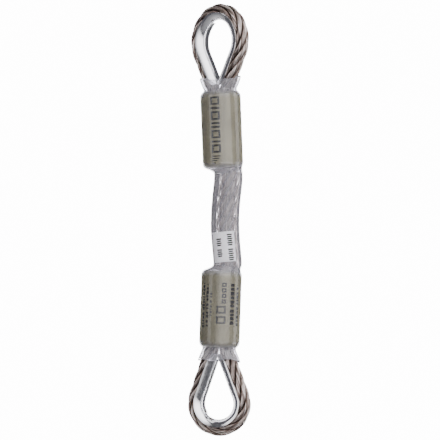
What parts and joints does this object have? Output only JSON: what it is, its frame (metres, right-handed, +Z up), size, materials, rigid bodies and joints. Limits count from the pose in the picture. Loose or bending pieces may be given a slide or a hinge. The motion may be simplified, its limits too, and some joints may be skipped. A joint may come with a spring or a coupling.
{
  "type": "wire_rope_sling",
  "caption": "Short wire rope sling with a thimble eye at each end, pressed ferrules, a clear sleeve over the ferrules and free span, and a slip label; the free span bends and twists.",
  "frame": {"origin": "the upper eye's bearing point: the middle of the thimble's flat bearing face at the crown of the upper eye", "axes": "+Z up along the hanging sling, from the lower eye to the upper one; +X across the upper eye's opening, to the side where the live leg leaves the ferrules; +Y out of the upper eye's back"},
  "size_m": [0.0269, 0.0173, 0.1799],
  "materials": {
    "rope_steel": "drawn stainless wire",
    "thimble_steel": "polished stainless sheet",
    "ferrule_aluminium": "pressed, dull",
    "clear_sleeve": "clear, shrunk on",
    "label_film": "printed slip"
  },
  "bodies": {
    "upper_end": {"upper_thimble": "thimble_steel", "upper_ferrule": "ferrule_aluminium", "upper_strand_1": "rope_steel", "upper_strand_2": "rope_steel", "upper_strand_3": "rope_steel", "upper_strand_4": "rope_steel", "upper_strand_5": "rope_steel", "upper_strand_6": "rope_steel", "upper_core_strand": "rope_steel", "sleeve_upper": "clear_sleeve"},
    "span_upper": {"span_upper_strands": "rope_steel", "span_upper_core_strand": "rope_steel", "sleeve_span_upper": "clear_sleeve"},
    "span_lower": {"span_lower_strands": "rope_steel", "span_lower_core_strand": "rope_steel", "sleeve_span_lower": "clear_sleeve"},
    "lower_end": {"lower_thimble": "thimble_steel", "lower_ferrule": "ferrule_aluminium", "lower_strand_1": "rope_steel", "lower_strand_2": "rope_steel", "lower_strand_3": "rope_steel", "lower_strand_4": "rope_steel", "lower_strand_5": "rope_steel", "lower_strand_6": "rope_steel", "lower_core_strand": "rope_steel", "sleeve_lower": "clear_sleeve", "label": "label_film"}
  },
  "joints": [
    {"name": "side_bend", "type": "hinge", "parent": "upper_end", "child": "span_upper", "pos_m": [0.00389, 0.00007, -0.06887], "axis": [0, 1, 0], "range_deg": [-20, 20], "stiffness_Nm_per_rad": 0.4},
    {"name": "front_bend", "type": "hinge", "parent": "span_upper", "child": "span_lower", "pos_m": [0.0028, 0.00026, -0.0775], "axis": [1, 0, 0], "range_deg": [-20, 20], "stiffness_Nm_per_rad": 0.4},
    {"name": "twist", "type": "hinge", "parent": "span_lower", "child": "lower_end", "pos_m": [0.00242, 0.00048, -0.086], "axis": [0.0166, 0.0259, -0.9995], "range_deg": [-15, 15], "stiffness_Nm_per_rad": 0.1}
  ]
}
